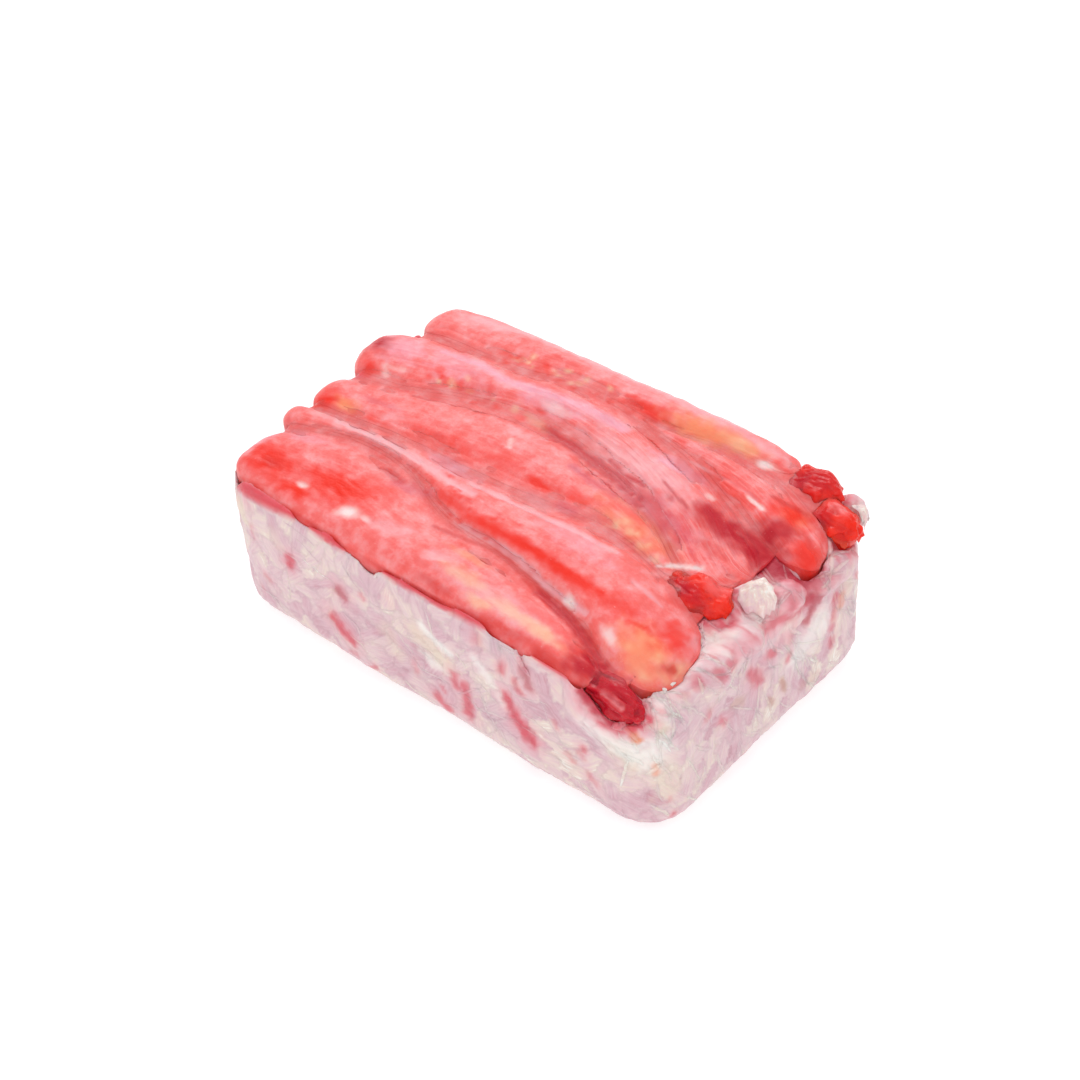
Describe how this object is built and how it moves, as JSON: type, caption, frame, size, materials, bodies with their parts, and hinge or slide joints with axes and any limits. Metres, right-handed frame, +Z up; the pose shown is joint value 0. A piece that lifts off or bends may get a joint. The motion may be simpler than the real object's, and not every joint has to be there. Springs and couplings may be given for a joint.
{
  "type": "frozen block of king crab leg meat",
  "caption": "Rectangular frozen block of shelled king crab meat: whole red leg meats lie side by side along the top of a pressed bed of pale, red-flecked shreds.",
  "frame": {"origin": "middle of the block's outline seen from above, on the surface that it lies on", "axes": "+X along the leg meats towards their torn near ends, +Y across them towards the back, +Z up"},
  "size_m": [0.184, 0.123, 0.0601],
  "materials": {
    "red_skin": "moist, lightly frosted",
    "red_flesh": "moist",
    "white_flesh": "moist, lightly frosted"
  },
  "bodies": {
    "root": {"shredded_meat_bed": "white_flesh", "leg_meat_1": "red_skin", "leg_meat_2": "red_skin", "leg_meat_3": "red_skin", "leg_meat_4": "red_skin", "leg_meat_5": "red_skin", "leg_meat_6": "red_skin", "red_shred_1": "red_flesh", "red_shred_2": "red_flesh", "red_shred_3": "red_flesh", "red_shred_4": "red_flesh", "white_shred_1": "white_flesh", "white_shred_2": "white_flesh"}
  },
  "joints": []
}
